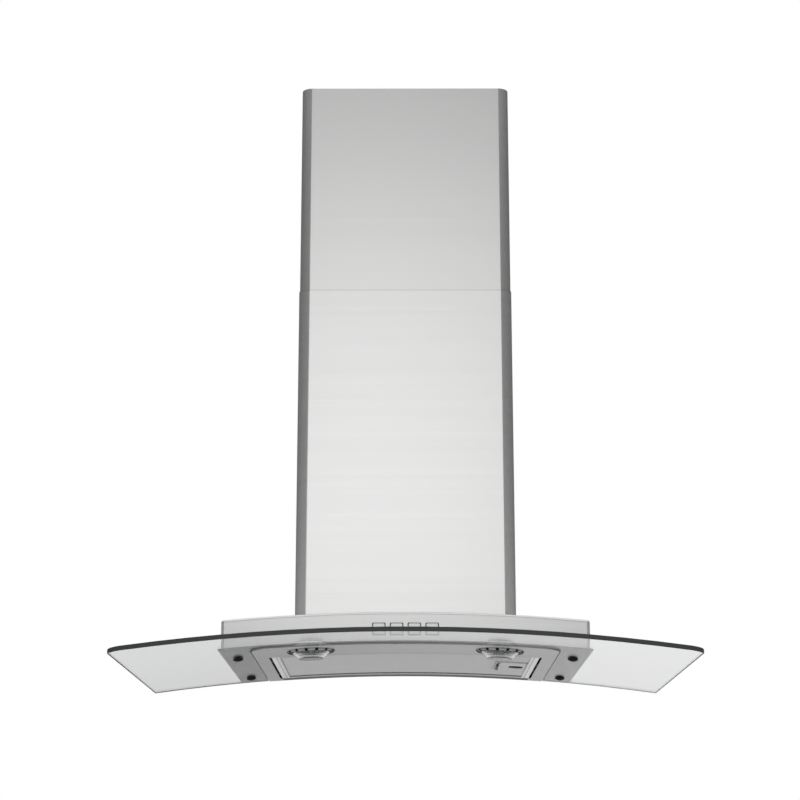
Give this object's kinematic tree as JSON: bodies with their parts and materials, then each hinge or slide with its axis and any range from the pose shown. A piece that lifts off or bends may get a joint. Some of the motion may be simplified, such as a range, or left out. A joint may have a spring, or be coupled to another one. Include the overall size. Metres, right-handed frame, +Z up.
{
  "type": "wall mount range hood",
  "caption": "Wall-mounted kitchen range hood with an arched clear glass canopy, slim steel housing, push buttons, mesh grease filter and a telescopic chimney over the blower.",
  "frame": {"origin": "on the wall plane, on the centre line, at the crown of the housing's top", "axes": "+X to the right seen from the front, +Y into the wall, +Z up"},
  "size_m": [0.75, 0.5, 0.8609],
  "materials": {
    "canopy_glass": "clear tempered glass with a green-grey edge",
    "brushed_steel": "fine brushed, satin",
    "panel_steel": "fine brushed, satin",
    "galvanised_sheet": "galvanised, satin",
    "zinc_fasteners": "zinc plated",
    "bush_rubber": "matt",
    "black_caps": "glossy",
    "black_plastic": "moulded, satin",
    "motor_enamel": "enamelled, satin",
    "capacitor_shell": "moulded, satin",
    "filter_aluminium": "expanded mesh in a rolled frame, satin",
    "latch_steel": "satin",
    "lamp_chrome": "polished",
    "lamp_lens": "frosted",
    "bulb_glass": "clear",
    "button_metal": "satin chrome"
  },
  "bodies": {
    "hood": {"glass_canopy": "canopy_glass", "glass_bolts": "zinc_fasteners", "glass_bushes": "bush_rubber", "glass_cap_nuts": "black_caps", "underside_pan": "panel_steel", "hood_shell": "brushed_steel", "back_plate": "galvanised_sheet", "motor_box": "galvanised_sheet", "motor_box_screws": "zinc_fasteners", "scroll_wrapper": "galvanised_sheet", "scroll_side_left": "galvanised_sheet", "scroll_side_right": "galvanised_sheet", "motor_body": "motor_enamel", "motor_bracket": "galvanised_sheet", "motor_bracket_screws": "zinc_fasteners", "capacitor": "capacitor_shell", "capacitor_clip": "galvanised_sheet", "terminal_box": "black_plastic", "terminal_box_lid": "black_plastic", "cable_gland": "black_plastic", "outlet_collar": "black_plastic", "outlet_collar_screws": "zinc_fasteners", "damper_pin": "zinc_fasteners", "lower_chimney_cover": "brushed_steel", "lower_chimney_tabs": "galvanised_sheet", "lower_chimney_screws": "zinc_fasteners", "lamp_ring_left": "lamp_chrome", "lamp_ring_right": "lamp_chrome", "lamp_lens_left": "lamp_lens", "lamp_lens_right": "lamp_lens", "lamp_can_left": "galvanised_sheet", "lamp_can_right": "galvanised_sheet", "lamp_bulb_left": "bulb_glass", "lamp_bulb_right": "bulb_glass", "button_bezel": "black_plastic", "switch_block": "black_plastic", "switch_strip": "galvanised_sheet"},
    "upper_chimney": {"upper_chimney_cover": "brushed_steel", "upper_wall_bracket": "galvanised_sheet", "upper_chimney_screws": "zinc_fasteners"},
    "blower_wheel": {"impeller": "black_plastic", "motor_shaft": "zinc_fasteners", "impeller_nut": "zinc_fasteners"},
    "damper_left": {"damper_flap_left": "black_plastic"},
    "damper_right": {"damper_flap_right": "black_plastic"},
    "filter": {"filter_frame": "filter_aluminium", "filter_face_mesh": "filter_aluminium", "filter_mesh_pack": "filter_aluminium", "latch_cup": "black_plastic", "latch_spring": "latch_steel"},
    "latch": {"latch_slide": "latch_steel", "latch_tongue": "latch_steel"},
    "button_1": {"button_1": "button_metal"},
    "button_2": {"button_2": "button_metal"},
    "button_3": {"button_3": "button_metal"},
    "button_4": {"button_4": "button_metal"}
  },
  "joints": [
    {"name": "upper_chimney_slide", "type": "slide", "parent": "hood", "child": "upper_chimney", "axis": [0, 0, 1], "range_m": [-0.28, 0.06]},
    {"name": "impeller_spin", "type": "hinge", "parent": "hood", "child": "blower_wheel", "pos_m": [0, -0.15, 0.1], "axis": [1, 0, 0], "continuous": true},
    {"name": "damper_left_swing", "type": "hinge", "parent": "hood", "child": "damper_left", "pos_m": [0, -0.0895, 0.2357], "axis": [0, 1, 0], "range_deg": [0, 75]},
    {"name": "damper_right_swing", "type": "hinge", "parent": "hood", "child": "damper_right", "pos_m": [0, -0.0895, 0.2357], "axis": [0, -1, 0], "range_deg": [0, 75]},
    {"name": "filter_tilt", "type": "hinge", "parent": "hood", "child": "filter", "pos_m": [-0.1845, -0.155, -0.0459], "axis": [0, 1, 0], "range_deg": [0, 70], "deforming": ["latch_tongue"]},
    {"name": "latch_pull", "type": "slide", "parent": "filter", "child": "latch", "axis": [-0.9981, 0, 0.0619], "range_m": [0, 0.004], "stiffness_N_per_m": 300, "deforming": ["latch_spring"]},
    {"name": "button_1_press", "type": "slide", "parent": "hood", "child": "button_1", "axis": [0, 1, 0], "range_m": [0, 0.003], "stiffness_N_per_m": 400},
    {"name": "button_2_press", "type": "slide", "parent": "hood", "child": "button_2", "axis": [0, 1, 0], "range_m": [0, 0.003], "stiffness_N_per_m": 400},
    {"name": "button_3_press", "type": "slide", "parent": "hood", "child": "button_3", "axis": [0, 1, 0], "range_m": [0, 0.003], "stiffness_N_per_m": 400},
    {"name": "button_4_press", "type": "slide", "parent": "hood", "child": "button_4", "axis": [0, 1, 0], "range_m": [0, 0.003], "stiffness_N_per_m": 400}
  ]
}
